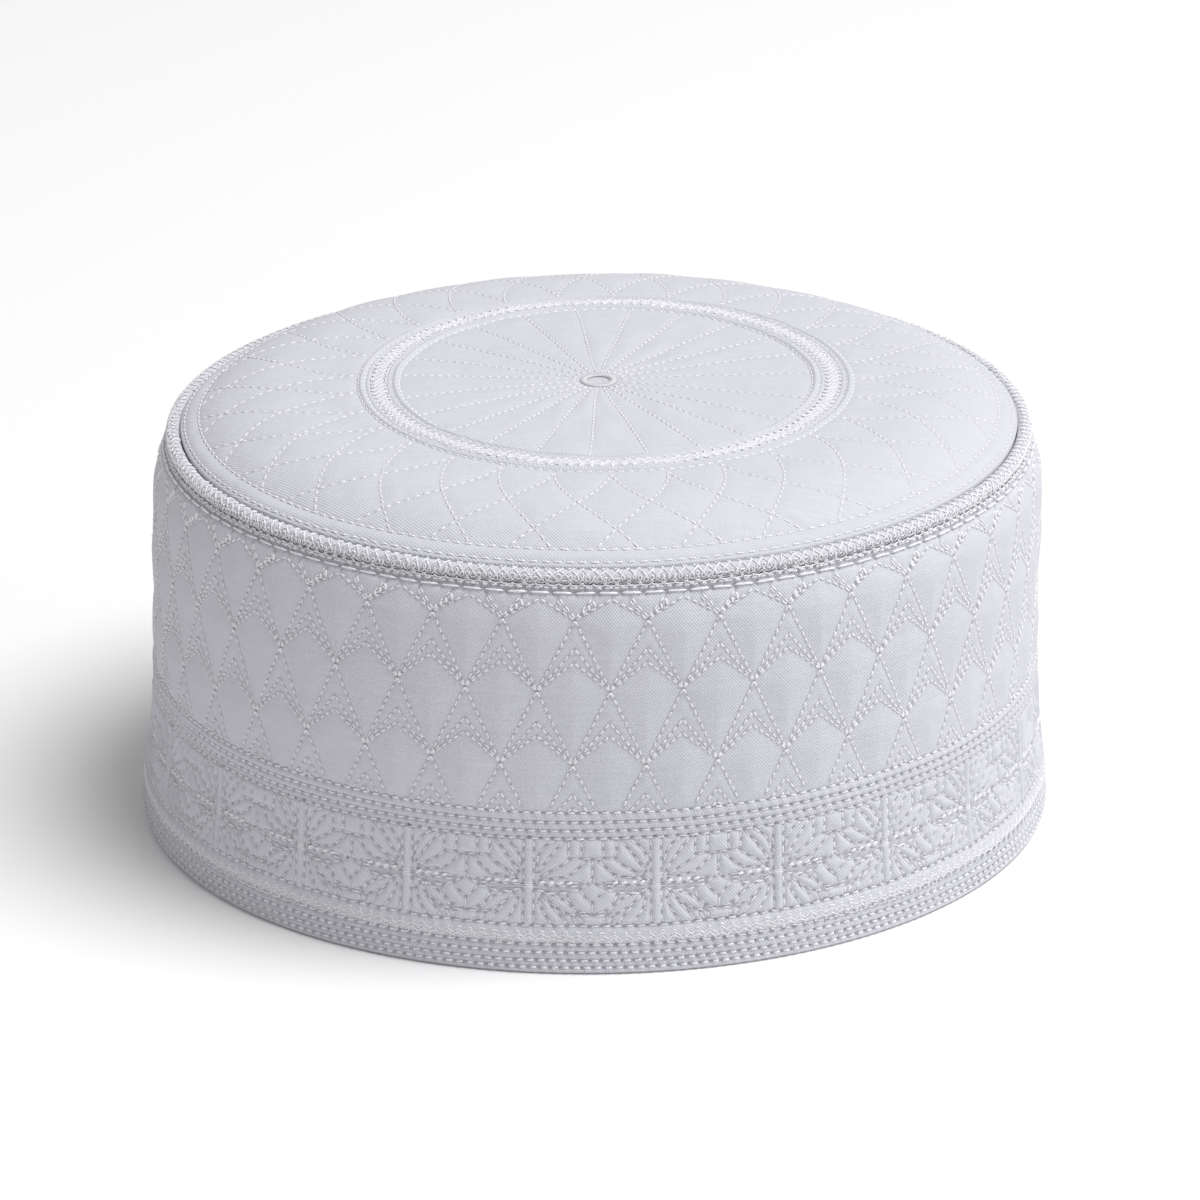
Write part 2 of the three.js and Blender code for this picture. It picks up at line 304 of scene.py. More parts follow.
# Looped threads: name, middle, reach, how far the loops are shifted along, seed, thickness
# against the common one. Round the piping middle and reach are degrees, elsewhere millimetres.
PIPING_THREADS = [("rim_loops", 50, 66, 0.0, 31, 0.72), ("rim_legs", -36, 58, 0.45, 32, 0.72)]
WALL_THREADS = [("hem_loops", 7.95, 0.8, 0.0, 33, 0.72), ("hem_legs", 7.2, 0.8, 0.45, 34, 0.72),
                ("rim_feet", 78.7, 0.45, 0.2, 35, 0.68)]
RING_THREADS = [("ring_loops", 46.1, 0.85, 0.0, 36, 0.72),
                ("ring_legs", 44.8, 0.85, 0.45, 37, 0.72)]
LOOPS_AROUND = 246
RING_LOOPS = 140
LOOP_POINTS = 12
LOOP_CURL = 0.30
LOOP_UNEVEN = {"size": 0.16, "drift": 0.12, "curl": 0.35}
WALL_LOOP_LIFT = 0.4
RING_LOOP_LIFT = 0.16
PIPING_LOOP_SINK = 0.02

# A stitch: corners of its rings of thread, the places of the two rings along it, how far it
# strays sideways and how uneven its thickness is
STITCH_SIDES = 4
STITCH_RINGS = (0.14, 0.86)
STITCH_SWAY = 0.05
STITCH_UNEVEN = 0.08

# Share of a step that is thread
WALL_FILL = 0.7
CROWN_FILL = 0.72

# Knots beside the kites' corners: half length and drop of a tie, distance of the second row
# over the first kites, and the places of the knots along a kite's upper edge
KNOT_HALF = 0.34
KNOT_DROP = 0.45
ROW_ASIDE = 0.26
KNOT_PLACES = np.array([0.45, 0.6, 0.75, 0.9])[:, None]

# Beads beside the bars: how many, the first one's place, the way from one to the next, and
# half of one
BEADS = 4
FIRST_BEAD = [2.6, LEAF_MIDDLE + 0.85]
BEAD_STEP = [1.7, 0.0]
BEAD_HALF = np.array([0.62, 0.16])
TIE_TURNS = np.array([-0.45, 0.0, 0.45])

# Spokes' inner end, and the steps of spokes and net
SPOKE_START = 4.2
SPOKE_STEP = 1.8
NET_STEP = 2.0
NET_PIECES = 24

# View of the photograph
CAMERA_DISTANCE = 1400.98
CAMERA_ELEVATION = math.radians(22.544)
CAMERA_TURN = 0.0596
CAMERA_ROLL = math.radians(-0.334)
CAMERA_SENSOR = 36.0
CAMERA_LENS = 6925.96 * CAMERA_SENSOR / 1200.0
CAMERA_TARGET = (1.14, 0.0, 42.185)


def smooth_table(at, places, values):
    """A smooth curve through a table: cubic pieces whose slopes are the mean of their sides'."""
    places = np.asarray(places, float)
    values = np.asarray(values, float)
    slopes = np.gradient(values, places)
    low = np.clip(np.searchsorted(places, at) - 1, 0, len(places) - 2)
    span = places[low + 1] - places[low]
    t = np.clip((at - places[low]) / span, 0, 1)
    rise = (1 + 2 * t) * (1 - t) ** 2 * values[low] + t**2 * (3 - 2 * t) * values[low + 1]
    lean = t * (1 - t) ** 2 * slopes[low] + t**2 * (t - 1) * slopes[low + 1]
    return rise + lean * span


def ease(at, start, end):
    """A smooth step from 0 at start to 1 at end: three squares less two cubes."""
    t = np.clip((at - start) / (end - start), 0, 1)
    return t**2 * (3 - 2 * t)


def place(half, turn, height):
    """A spot on the cap: the oval of that half width, leaning with the square of the height."""
    lean = np.minimum(1, (height / PIPING_HEIGHT) ** 2)
    x = half * np.sin(turn) + LEAN_X * lean
    y = -half * OVAL_RATIO * np.cos(turn) + LEAN_Y * lean
    return np.stack(np.broadcast_arrays(x, y, height), -1)


def slope_of(curve, at):
    """Slope of a curve at a place, from its values a little way to both sides."""
    return (curve(at + NUDGE) - curve(np.maximum(at - NUDGE, 0))) / (2 * NUDGE)


def oval_outward(turn, out, up):
    """A unit direction that points out of the oval by out and upwards by up."""
    x = OVAL_RATIO * np.sin(turn)
    y = -np.cos(turn)
    length = np.hypot(x, y)
    way = np.stack(np.broadcast_arrays(x / length * out, y / length * out, up), -1)
    return way / np.linalg.norm(way, axis=-1, keepdims=True)


def slow_waves(turn, level, seed, waves, fastest, rising, fading):
    """Unevenness of sewn cloth: a sum of slow seeded waves that closes on itself round the cap."""
    random = np.random.default_rng(seed)
    total = np.zeros(np.broadcast(turn, level).shape)
    for _ in range(waves):
        around = random.integers(1, fastest)
        along = random.uniform(-WAVE_SLANT, WAVE_SLANT)
        height = random.normal()
        total += height * np.cos(around * turn + along * level + random.uniform(0, WAVE_PHASE))
    total = WAVE_HEIGHT * total / math.sqrt(waves)
    return total * ease(level, *rising) * ease(level, *fading)


def wall_half(height):
    return HALF_WIDTH - smooth_table(height, WALL_TABLE["height"], WALL_TABLE["inset"])


def wall_frame(turn, height, lift):
    """Spot and outward direction on the wall, lifted off its plain form and its slow waves."""
    half = wall_half(height)
    normal = oval_outward(turn, 1.0, -slope_of(wall_half, height))
    waves = slow_waves(turn, height, **WALL_WAVES)
    return place(half, turn, height) + normal * (lift + waves)[..., None], normal


def crown_height(half):
    return CAP_HEIGHT - smooth_table(half, CROWN_TABLE["half"], CROWN_TABLE["drop"])


def ring_share(half):
    """How much the crown's pattern is shifted: not at the eyelet or the rim, all in between."""
    return ease(half, 5, 40) * ease(half, 74, 50)


def crown_spot(half, turn):
    """Half width and turn, on the plain oval, of a spot of the crown's pattern.

    The pattern is a shifted circle up to the ring and eases into the oval at the edge.
    """
    ratio = 1 + (OVAL_RATIO - 1) * ease(half, ROUND_UP_TO, OVAL_FROM)
    share = ring_share(half)
    x = half * np.sin(turn) + share * RING_SHIFT[0]
    y = (half * ratio * np.cos(turn) - share * RING_SHIFT[1]) / OVAL_RATIO
    return np.hypot(x, y), np.arctan2(x, y)


def pattern_turn(half, oval_turn):
    """The pattern's turn that lands on a turn of the plain oval, found in a few steps."""
    turn = np.array(oval_turn, float)
    for _ in range(4):
        miss = oval_turn - crown_spot(half, turn)[1]
        turn = turn + (miss + math.pi) % FULL_TURN - math.pi
    return turn


def crown_frame(half, turn, lift):
    """Spot and upward direction on the crown, lifted off its plain form and its slow waves."""
    oval_half, oval_turn = crown_spot(half, turn)
    normal = oval_outward(oval_turn, -slope_of(crown_height, oval_half), 1.0)
    spot = place(oval_half, oval_turn, crown_height(oval_half))
    waves = slow_waves(turn, half, **CROWN_WAVES)
    return spot + normal * (lift + waves)[..., None], normal


def round_piping(turn, angle, radius):
    """Spots on the cord's section: a circle about the middle of the piping."""
    return place(PIPING_RING + radius * np.cos(angle), turn,
                 PIPING_HEIGHT + radius * np.sin(angle))


def piping_groove(degrees):
    """Half width and height of the rows of cloth that turn in round the piping."""
    angle = np.radians(degrees)
    reach = PIPING_RADIUS + SEAM_GAP
    return np.stack([PIPING_RING + reach * np.cos(angle),
                     PIPING_HEIGHT + reach * np.sin(angle)], -1)


def build_mesh(name, points, uv, quads, triangles=(), painted_shade=None):
    """A mesh from arrays of points in millimetres and of the corners of its faces."""
    triangles = np.reshape(triangles, (-1, 3)).astype(int)
    corners = np.concatenate([quads.ravel(), triangles.ravel()])
    sizes = np.concatenate([np.full(len(quads), 4), np.full(len(triangles), 3)])
    points = points.reshape(-1, 3)
    mesh = bpy.data.meshes.new(name)
    mesh.vertices.add(len(points))
    mesh.vertices.foreach_set("co", (points * MM).astype(np.float32).ravel())
    mesh.loops.add(len(corners))
    mesh.loops.foreach_set("vertex_index", corners.astype(np.int32))
    mesh.polygons.add(len(sizes))
    mesh.polygons.foreach_set("loop_start", (np.cumsum(sizes) - sizes).astype(np.int32))
    mesh.polygons.foreach_set("use_smooth", np.ones(len(sizes), bool))
    layer = mesh.uv_layers.new(name="Cloth")
    layer.data.foreach_set("uv", uv.astype(np.float32).ravel())
    # Painted shade, one value a point, by which the materials darken the colour
    if painted_shade is not None:
        attribute = mesh.attributes.new("painted_shade", "FLOAT", "POINT")
        attribute.data.foreach_set("value", painted_shade.astype(np.float32).ravel())
    mesh.update(calc_edges=True)
    piece = bpy.data.objects.new(name, mesh)
    bpy.context.scene.collection.objects.link(piece)
    return piece


def ring_faces(rows, columns, closed_rows=True):
    """Quads of a grid that closes round its columns, and round its rows where asked."""
    row = np.arange(rows if closed_rows else rows - 1)[:, None]
    column = np.arange(columns)[None, :]
    above = (row + 1) % rows
    beside = (column + 1) % columns
    corners = [row * columns + column, row * columns + beside,
               above * columns + beside, above * columns + column]
    return np.stack(np.broadcast_arrays(*corners), -1).reshape(-1, 4)


def ring_uv(around, along, length):
    """Each quad's four corners; the last column runs on by the length of one round."""
    around, along = (np.array(grid) for grid in np.broadcast_arrays(around, along))
    beside = np.roll(around, -1, axis=1)
    beside[:, -1] += length
    along_beside = np.roll(along, -1, axis=1)
    corners = [
        (around, along), (beside, along_beside),
        (np.roll(beside, -1, axis=0), np.roll(along_beside, -1, axis=0)),
        (np.roll(around, -1, axis=0), np.roll(along, -1, axis=0)),
    ]
    return np.stack([np.stack(pair, -1) for pair in corners], -2)


def no_line(shape):
    """Distance, nearness to a needle hole and way of spots that no line has been found for."""
    return [np.full(shape, 99.0), np.zeros(shape), np.zeros((*shape, 2))]


def closer_of(known, found):
    """Of two such finds the one with the lesser distance, spot by spot."""
    closer = found[0] < known[0]
    pick = [closer, closer, closer[..., None]]
    return [np.where(*parts) for parts in zip(pick, found, known)]


def nearest_line(across, up, lines, step):
    """Distance to the nearest sewn line, nearness to a needle hole, and the way to it.

    The distance to a segment is that to the spot's foot on it, held between its two ends.
    The needle holes lie one step apart along a line, so the nearness to one is a cosine of
    the way walked. The way leads to the foot, and on to a hole where one is close.
    """
    known = no_line(np.broadcast(across, up).shape)
    for line in lines:
        walked = 0.0
        total = np.linalg.norm(np.diff(line, axis=0), axis=1).sum()
        pace = total / max(1, round(total / step))
        for start, end in zip(line[:-1], line[1:]):
            run = end - start
            length = np.hypot(*run)
            share = ((across - start[0]) * run[0] + (up - start[1]) * run[1]) / length**2
            share = np.clip(share, 0, 1)
            foot = np.stack([start[0] + share * run[0] - across,
                             start[1] + share * run[1] - up], -1)
            gap = np.hypot(foot[..., 0], foot[..., 1])
            phase = (walked + share * length) / pace
            onward = (np.round(phase) - phase) * pace
            foot += np.where(np.abs(onward) < PULL, onward, 0)[..., None] * run / length
            known = closer_of(known, (gap, np.cos(FULL_TURN * phase), foot))
            walked += length
    gap, hole, way = known
    return gap, np.clip(hole, 0, 1), way * (gap < PULL)[..., None]


def puff(distance, hole, rise, reach, dip, width, pit, power=1):
    """Height of quilted cloth over its plain form.

    It swells from a sewn line to its full rise, the later the higher the power, dips along
    the line itself as a bell curve, and dips further where a needle hole is near.
    """
    swell = rise * (1 - np.exp(-((distance / reach) ** power)))
    return swell - (dip + pit * hole) * np.exp(-((distance / width) ** 2))


def painted_line_shade(distance, hole, width, line, pit):
    """Painted shade along a sewn line: a bell curve across it, deepest in the needle holes."""
    return np.exp(-((distance / width) ** 2)) * (line + pit * hole)


def from_middle(turn, first, count, round_mm):
    """Distance from the nearest of some even middle lines, and the side of it."""
    pitch = FULL_TURN / count
    local = (turn - first + pitch / 2) % pitch - pitch / 2
    return np.abs(local) * round_mm, np.where(local < 0, -1.0, 1.0)


def kite_lines():
    """Sewn lines of each row of kites, in millimetres from a kite's middle line."""
    found = []
    for row in KITE_TABLE:
        corner = (KITE_HALF, row["side"])
        shoulder = (KITE_HALF / 2, (row["top"] + row["side"]) / 2 + KITE_SHOULDER)
        found.append((row["shifted"], [
            np.array([(0, row["top"]), shoulder, corner]),
            np.array([corner, (0, row["bottom"])]),
            np.array([(0, row["top"] + row["over"]), corner]),
        ]))
    return found


def kite_relief(turn, height):
    """Lift, painted shade and way to the nearest needle hole among the kites."""
    known = no_line(np.broadcast(turn, height).shape)
    for shifted, edges in kite_lines():
        middle = FIRST_CORNER + shifted * math.pi / KITES_AROUND
        across, side = from_middle(turn, middle, KITES_AROUND, KITE_ROUND)
        found = nearest_line(across, height, edges, KITE_STEP)
        found[2][..., 0] *= side
        known = closer_of(known, found)
    gap, hole, way = known
    ends = np.minimum(np.abs(height - KITE_FOOT), np.abs(height - KITE_TOP) + KITE_TOP_GAP)
    gap = np.minimum(gap, ends)
    lift = puff(gap, hole, bpy.context.scene.cap_sizes.kite_puff, **KITE_QUILT)
    return lift, painted_line_shade(gap, hole, **KITE_SHADE), way


def smooth_line(points):
    """A smooth curve through a few points, by their share of the way."""
    points = np.array(points, float)
    if len(points) < 3:
        return points
    walked = np.append(0, np.cumsum(np.linalg.norm(np.diff(points, axis=0), axis=1)))
    at = np.linspace(0, walked[-1], CURVE_POINTS)
    return np.stack([smooth_table(at, walked, points[:, i]) for i in (0, 1)], -1)


def leaf_curves(lines):
    """Lines of the leaf border at their real size and height."""
    stretch = np.array([MOTIF_HALF / LEAF_DRAWN_HALF, 1.0])
    return [smooth_line(line) * stretch + [0, LEAF_MIDDLE] for line in lines]


def leaf_relief(turn, height):
    """Leaf border: puffed leaves between sewn lines, round bars tied in at their middle."""
    across, side = from_middle(turn, FIRST_BAR, MOTIFS_AROUND, LEAF_ROUND)
    gap, hole, way = nearest_line(across, height, leaf_curves(LEAF_LINES + LEAF_FOLDS),
                                  LEAF_STEP)
    way[..., 0] *= side
    edge = np.minimum(np.abs(height - LEAF_FOOT), np.abs(height - LEAF_TOP))
    gap = np.minimum(gap, edge)
    lift = puff(gap, hole, bpy.context.scene.cap_sizes.leaf_puff, **LEAF_QUILT)
    bar = BAR_RISE * np.sqrt(np.clip(1 - (across / (BAR_HALF + BAR_SINK)) ** 2, 0, 1)) - BAR_SINK
    tie = np.exp(-(((height - TIE_LEVEL) / TIE_HALF) ** 2))
    lift = np.where(across < BAR_HALF, bar - TIE_DEPTH * tie, lift)
    # Painted shade along the leaves' sewn lines and in their needle holes
    return lift, painted_line_shade(gap, hole, **LEAF_SHADE), way


def row_relief(turn, height):
    """Cloth between sewn rows: round tunnels that are nipped in at every needle hole."""
    rise = bpy.context.scene.cap_sizes.seam_puff
    gaps = np.abs(height[..., None] - SEAM_LEVELS)
    row = np.argmin(gaps, axis=-1)
    gap = np.min(gaps, axis=-1)
    phase = SEAM_COUNTS[row] * turn - row * SEAM_PHASE
    hole = np.clip(-np.cos(phase), 0, 1)
    nip = NIP_SHARE * rise * hole * np.exp(-((gap / NIP_WIDTH) ** 2))
    lift = puff(gap, hole, rise, **ROW_QUILT) - nip
    onward = (math.pi - phase % FULL_TURN) / SEAM_COUNTS[row] * LEAF_ROUND
    onward = np.where(np.abs(onward) < PULL, onward, 0)
    way = np.stack([onward, SEAM_LEVELS[row] - height], -1) * (gap < 2 * PULL)[..., None]
    # Painted shade along the rows and in their needle holes
    return lift, painted_line_shade(gap, hole, **ROW_SHADE), way


def wall_relief(turn, height):
    """Lift, painted shade and way to a needle hole: kites above, leaves below, rows elsewhere.

    One broad round row without painted shade ends the hem, and the top edge is tucked flat and gets
    no painted shade.
    """
    lift, painted_shade, way = row_relief(turn, height)
    broad = np.clip(1 - ((height - BROAD_ROW["middle"]) / BROAD_ROW["half"]) ** 2, 0, 1)
    lift = np.where(broad > 0, np.maximum(lift, BROAD_ROW["rise"] * np.sqrt(broad)), lift)
    painted_shade = np.where(broad > 0, 0, painted_shade)
    for low, high, relief in ((LEAF_FOOT, LEAF_TOP, leaf_relief),
                              (KITE_FOOT, KITE_TOP, kite_relief)):
        zone = (height > low) & (height < high)
        if zone.any():
            lift[zone], painted_shade[zone], way[zone] = relief(turn[zone], height[zone])
    tucked = ease(height, TUCK_START, TUCK_END)
    return lift * (1 - tucked) - TUCK_DEPTH * tucked, painted_shade * (height < TUCK_START), way


def band_heights(low, high, step):
    """Rows of a band's outside, with one more just inside each of its edges."""
    rows = np.linspace(low, high, round((high - low) / step) + 1)
    return np.concatenate([[low, low + JOIN], rows[1:-1], [high - JOIN, high]])


def wall_band(name, low, high, step, columns, above=None, below=None, nodes=()):
    """One closed ring of wall cloth: up its outside, over its top, down its inside and under.

    Each row is the oval at one height. Grid points beside a sewn line are pulled onto it by
    less than half a cell, so that the line is drawn sharply. Above and below are rows of
    half width and height that lead to the inside; without them the band is cut off square.
    """
    turn = FIRST_CORNER + np.arange(columns) * FULL_TURN / columns
    heights = band_heights(low, high, step)
    grid_turn, grid_height = np.broadcast_arrays(turn[None, :], heights[:, None])
    _, _, way = wall_relief(grid_turn, grid_height)
    cell = CELL_SHARE * np.array([FULL_TURN / columns * KITE_ROUND, step])
    way = np.clip(way, -cell, cell)
    way[:2] = way[-2:] = 0
    grid_turn = grid_turn + way[..., 0] / KITE_ROUND
    grid_height = grid_height + way[..., 1]
    lift, painted_shade, _ = wall_relief(grid_turn, grid_height)
    outside, normal = wall_frame(grid_turn, grid_height, lift)
    over = outside[-1:] - JOIN * normal[-1:] if above is None else ring_rows(above, turn)
    under = outside[:1] - JOIN * normal[:1] if below is None else ring_rows(below, turn)
    top = high if above is None else above[-1][1]
    inner = np.linspace(min(top, WALL_INSIDE["height"][-1]), low, INSIDE_ROWS)
    inner_half = smooth_table(inner, WALL_INSIDE["height"], WALL_INSIDE["half"])
    inside = ring_rows(list(zip(inner_half, inner)), turn)
    points = np.concatenate([under, outside, over, inside])
    # Painted shade: only the outside carries it, the rest none
    shade = np.zeros(points.shape[:2])
    around = np.broadcast_to(turn, points.shape[:2]).copy()
    along = np.concatenate([
        low - JOIN - 0.7 * np.arange(len(under))[::-1], heights,
        high + JOIN + 0.7 * np.arange(len(over)), high + 5 + 8.0 * np.arange(len(inside)),
    ])
    along = np.broadcast_to(along[:, None], points.shape[:2]).copy()
    outer = slice(len(under), len(under) + len(outside))
    shade[outer], around[outer], along[outer] = painted_shade, grid_turn, grid_height
    uv = ring_uv((around - FIRST_CORNER) * KITE_ROUND, along, FULL_TURN * KITE_ROUND)
    finish_cloth(build_mesh(name, points, uv, ring_faces(len(points), columns), painted_shade=shade),
                 nodes)


def ring_rows(pairs, turn):
    """Plain rows of the wall, each an oval with its own half width and height."""
    pairs = np.array(pairs)
    return place(pairs[:, :1], turn[None, :], pairs[:, 1:])


def finish_cloth(piece, nodes=()):
    if nodes:
        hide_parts(*nodes)
    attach(piece, "root")
    piece.data.materials.append(material_named("White cotton twill", cloth_look))


def finish_thread(piece, nodes=()):
    if nodes:
        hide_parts(*nodes)
    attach(piece, "root")
    piece.data.materials.append(material_named("White twisted thread", thread_look))


def stitch_mesh(name, starts, ends, normals, radius, sink, rng):
    """Stitches: each is a short bar of thread that swells between two needle holes.

    It has four stations from start to end. The outer two are points sunk into the cloth,
    the inner two are rings of four corners on a circle.
    """
    count, sides = len(starts), STITCH_SIDES
    run = ends - starts
    tangent = run / np.maximum(np.linalg.norm(run, axis=1, keepdims=True), 1e-6)
    side = np.cross(tangent, normals)
    side /= np.maximum(np.linalg.norm(side, axis=1, keepdims=True), 1e-6)
    sway = side * rng.normal(0, STITCH_SWAY, (count, 1))
    starts, ends = starts + sway, ends - sway
    size = np.reshape(radius, (-1, 1)) * rng.normal(1, STITCH_UNEVEN, (count, 1))
    angle = np.arange(sides) * FULL_TURN / sides + math.pi / 4
    ring = (side[:, None] * np.cos(angle)[None, :, None]
            + normals[:, None] * np.sin(angle)[None, :, None]) * size[:, None]
    rings = [(starts + (ends - starts) * share)[:, None] + ring for share in STITCH_RINGS]
    tips = np.stack([starts - normals * sink, ends - normals * sink], 1)
    points = np.concatenate([tips, *rings], 1)
    base = (np.arange(count) * (2 + 2 * sides))[:, None, None]
    corner = np.arange(sides)
    following = (corner + 1) % sides
    near, near_next = 2 + corner, 2 + following
    far, far_next = near + sides, near_next + sides
    quads = np.stack([near, far, far_next, near_next], -1)
    fans = np.concatenate([np.stack([np.zeros(sides, int), near, near_next], -1),
                           np.stack([np.ones(sides, int), far_next, far], -1)])
    low, high = STITCH_RINGS
    lap, lap_next = corner / sides, (corner + 1) / sides
    lap_middle = (lap + lap_next) / 2
    quad_uv = np.stack([np.broadcast_to([low, high, high, low], (sides, 4)),
                        np.stack([lap, lap, lap_next, lap_next], -1)], -1)
    fan_uv = [np.stack([np.broadcast_to([tip, ring_at, ring_at], (sides, 3)),
                        np.stack([lap_middle, *laps], -1)], -1)
              for tip, ring_at, laps in ((0.0, low, (lap, lap_next)), (1.0, high, (lap_next, lap)))]
    uv = [np.tile(part.reshape(-1, 2), (count, 1)) for part in (quad_uv, np.concatenate(fan_uv))]
    return build_mesh(name, points, np.concatenate(uv), (quads[None] + base).reshape(-1, 4),
                      fans[None] + base)


def thread_tube(name, path, normals, radius, sides=4):
    """A thread along a closed path: a circle carried along it, square to the path."""
    tangent = np.roll(path, -1, 0) - np.roll(path, 1, 0)
    tangent /= np.linalg.norm(tangent, axis=1, keepdims=True)
    side = np.cross(tangent, normals)
    side /= np.maximum(np.linalg.norm(side, axis=1, keepdims=True), 1e-6)
    over = np.cross(side, tangent)
    angle = np.arange(sides) * FULL_TURN / sides
    ring = (side[:, None] * np.cos(angle)[None, :, None]
            + over[:, None] * np.sin(angle)[None, :, None])
    points = path[:, None] + ring * radius
    walked = np.cumsum(np.linalg.norm(np.roll(path, -1, 0) - path, axis=1))
    uv = ring_uv(np.arange(sides) / sides, walked[:, None] * 0.5, 1.0)[..., ::-1]
    return build_mesh(name, points, uv.reshape(-1, 4, 2)[:, ::-1],
                      ring_faces(len(path), sides)[:, ::-1])


def split_line(line, step, fill):
    """Starts and ends of the stitches along a line of points, in the line's own units."""
    walked = np.append(0, np.cumsum(np.linalg.norm(np.diff(line, axis=0), axis=1)))
    count = max(1, round(walked[-1] / step))
    middle = (np.arange(count) + 0.5) / count * walked[-1]
    reach = fill * walked[-1] / count / 2
    return [np.stack([np.interp(at, walked, line[:, i]) for i in (0, 1)], -1)
            for at in (middle - reach, middle + reach)]


def repeat_round(starts, ends, middles, round_mm):
    """The same stitches about each of some middle lines, as turn and height."""
    shift = np.stack([middles, np.zeros(len(middles))], -1)[:, None]
    return [(spots / [round_mm, 1] + shift).reshape(-1, 2) for spots in (starts, ends)]


def lay_stitches(name, pairs, laid, thick, sink, seed):
    """Stitches from pairs of starts and ends, by a function that lays spots on the cloth."""
    starts, ends = (laid(*np.concatenate(spots).T) for spots in zip(*pairs))
    normals = (starts[1] + ends[1]) / 2
    radius = bpy.context.scene.cap_sizes.thread * thick
    rng = np.random.default_rng(seed)
    finish_thread(stitch_mesh(name, starts[0], ends[0], normals, radius, sink, rng))


def wall_stitches(name, pairs, lift, thick, seed):
    """Stitches on the wall between spots given as turn and height."""
    lay_stitches(name, pairs, lambda turn, height: wall_frame(turn, height, lift),
                 thick, sink=0.3, seed=seed)


def loop_path(skew, seed, reach, loops):
    """Turn and swing of a looped thread: a lying figure of eight, repeated with slow changes.

    The swing is a sine of the way round. The turn runs on evenly and sways twice as fast,
    so that every loop closes over the one before it.
    """
    share = np.arange(loops * LOOP_POINTS) / LOOP_POINTS
    rng = np.random.default_rng(seed)
    knots = rng.normal(0, 1, (3, loops))
    knots = np.concatenate([knots, knots[:, :1]], 1)
    size, sway, drift = (np.interp(share, np.arange(loops + 1), row) for row in knots)
    phase = FULL_TURN * (share + skew)
    swing = reach * (1 + LOOP_UNEVEN["size"] * size) * np.sin(phase)
    swing += LOOP_UNEVEN["drift"] * reach * drift
    curl = LOOP_CURL * (1 + LOOP_UNEVEN["curl"] * sway) * np.sin(2 * phase)
    return FULL_TURN * (share + skew + curl) / loops, swing


def looped_threads(rows, laid, loops=LOOPS_AROUND):
    """Looped threads, by a function that lays turns and swings on the cloth."""
    for name, middle, reach, skew, seed, thick in rows:
        turn, swing = loop_path(skew, seed, reach, loops)
        path, normals = laid(turn, middle + swing)
        radius = bpy.context.scene.cap_sizes.thread * thick
        finish_thread(thread_tube(name, path, normals, radius))


def tinted(colour, share=1.0):
    """A colour made darker or lighter by a share, with full cover."""
    return (*(value * share for value in colour), 1.0)


def material_named(name, make):
    """The material of a name; a function of its node tree makes it the first time."""
    material = bpy.data.materials.get(name)
    if material is None:
        material = bpy.data.materials.new(name)
        material.use_nodes = True
        make(material.node_tree)
    return material


def set_inputs(tree, node, inputs):
    """Inputs of a shader node: each is a plain value or the socket that feeds it."""
    for name, value in inputs.items():
        if isinstance(value, bpy.types.NodeSocket):
            tree.links.new(value, node.inputs[name])
        else:
            node.inputs[name].default_value = value


def add_node(tree, kind, output, inputs=None, **settings):
    """A shader node with its settings and inputs. It gives back the output that is used."""
    node = tree.nodes.new("ShaderNode" + kind)
    for name, value in settings.items():
        setattr(node, name, value)
    set_inputs(tree, node, inputs or {})
    return node.outputs[output]


def mixed(tree, share, first, second, kind="RGBA"):
    """A mix of two colours or values, by the share of the second."""
    return add_node(tree, "Mix", "Result", {"Factor": share, "A": first, "B": second},
                    data_type=kind)


def noise(tree, vector, scale, detail):
    """Seedless noise of a scale and detail."""
    return add_node(tree, "TexNoise", "Fac", {"Vector": vector, "Scale": scale,
                                              "Detail": detail})


def with_painted_shade(tree, tone, dark):
    """A tone that goes over to a dark one by the painted shade stored on the piece."""
    painted_shade = add_node(tree, "Attribute", "Fac", attribute_name="painted_shade")
    return mixed(tree, painted_shade, tone, dark)


def cloth_look(tree):
    """White cotton twill: fine slanting ribs, soft wrinkles, and painted shade along the sewn lines
    and in the needle holes.
    """
    look = bpy.context.scene.cap_looks
    colour = look.cloth_colour
    uv = add_node(tree, "UVMap", "UV", uv_map="Cloth")
    slant = add_node(tree, "Mapping", "Vector",
                     {"Vector": uv, "Rotation": (0, 0, -look.twill_slant)})
    ribs = add_node(tree, "TexWave", "Fac", {
        "Vector": slant, "Scale": FULL_TURN / 20 / (look.twill_pitch / MM),
        "Distortion": 0.8, "Detail": 1.0, "Detail Scale": 0.4})
    weave = mixed(tree, 0.4, ribs, noise(tree, uv, 2.6, 4.0), "FLOAT")
    stretch = add_node(tree, "Mapping", "Vector", {"Vector": uv, "Scale": (0.1, 1.5, 1.0)})
    uneven = mixed(tree, 0.45, weave, noise(tree, stretch, 1.0, 3.0), "FLOAT")
    fine = add_node(tree, "Bump", "Normal",
                    {"Height": weave, "Strength": 0.7, "Distance": 0.00013})
    wrinkles = noise(tree, add_node(tree, "TexCoord", "Object"), 160.0, 3.0)
    soft = add_node(tree, "Bump", "Normal", {
        "Height": wrinkles, "Strength": 0.5, "Distance": 0.0008, "Normal": fine})
    tone = mixed(tree, uneven, tinted(colour, 0.84), tinted(colour, 1.16))
    # Painted shade: the colour darkens to 0.4 of itself along the sewn lines and in the needle
    # holes
    set_inputs(tree, tree.nodes["Principled BSDF"], {
        "Base Color": with_painted_shade(tree, tone, tinted(colour, 0.4)), "Normal": soft,
        "Roughness": 0.88, "Sheen Weight": 0.12, "Sheen Roughness": 0.5,
        "Specular IOR Level": 0.25})


